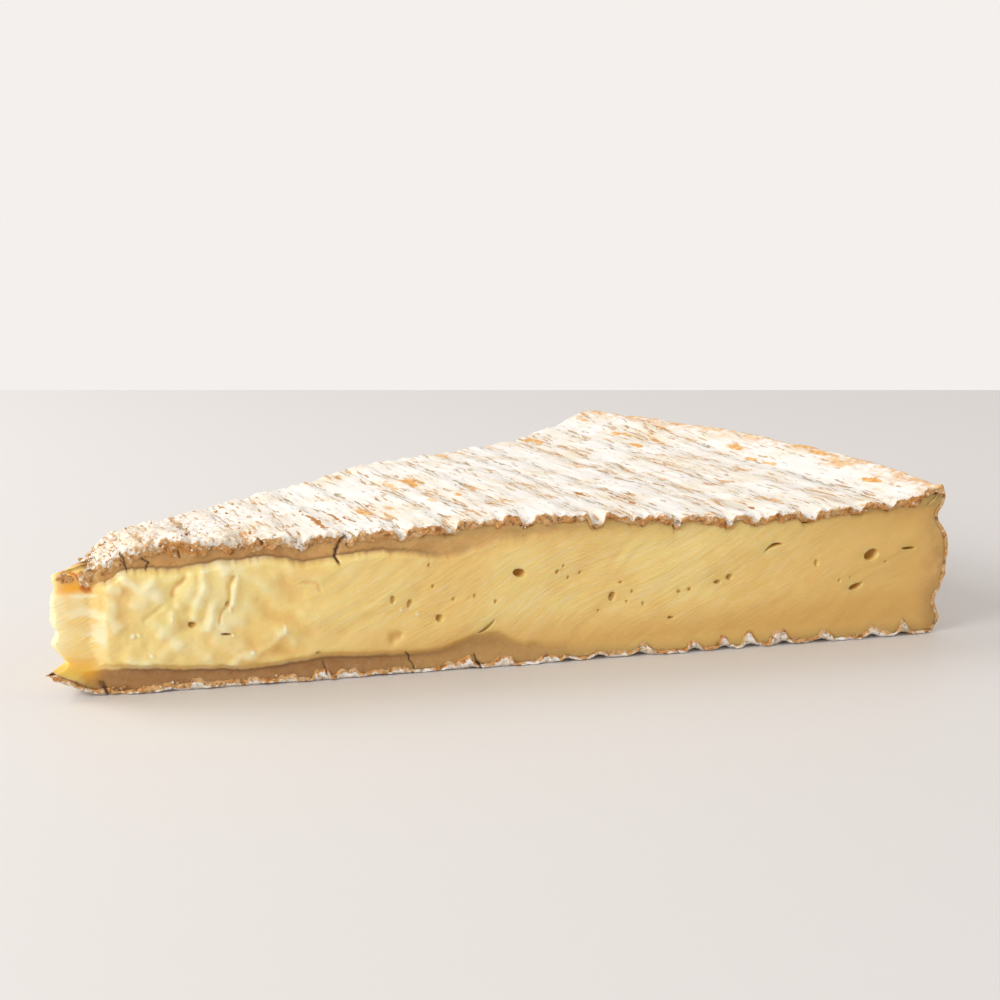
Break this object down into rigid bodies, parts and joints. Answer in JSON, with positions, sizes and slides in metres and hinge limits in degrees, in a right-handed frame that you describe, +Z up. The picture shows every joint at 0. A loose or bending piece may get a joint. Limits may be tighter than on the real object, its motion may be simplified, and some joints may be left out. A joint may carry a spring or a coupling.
{
  "type": "brie wedge",
  "caption": "Long flat wedge of soft white-rind cheese cut from a large wheel, with ridged rind, oozing tip and gas holes in the cut paste.",
  "frame": {"origin": "on the table under the middle of the wedge's box", "axes": "+X along the middle of the wedge from its tip to the wheel's side, +Y across it from the near cut to the far cut, +Z up from the lower rind to the top rind"},
  "size_m": [0.1916, 0.1314, 0.0331],
  "materials": {
    "cheese": "creamy yellow paste with a soft damp sheen between matt white bloomy rinds with tan edges"
  },
  "bodies": {
    "root": {"brie_wedge": "cheese"}
  },
  "joints": []
}
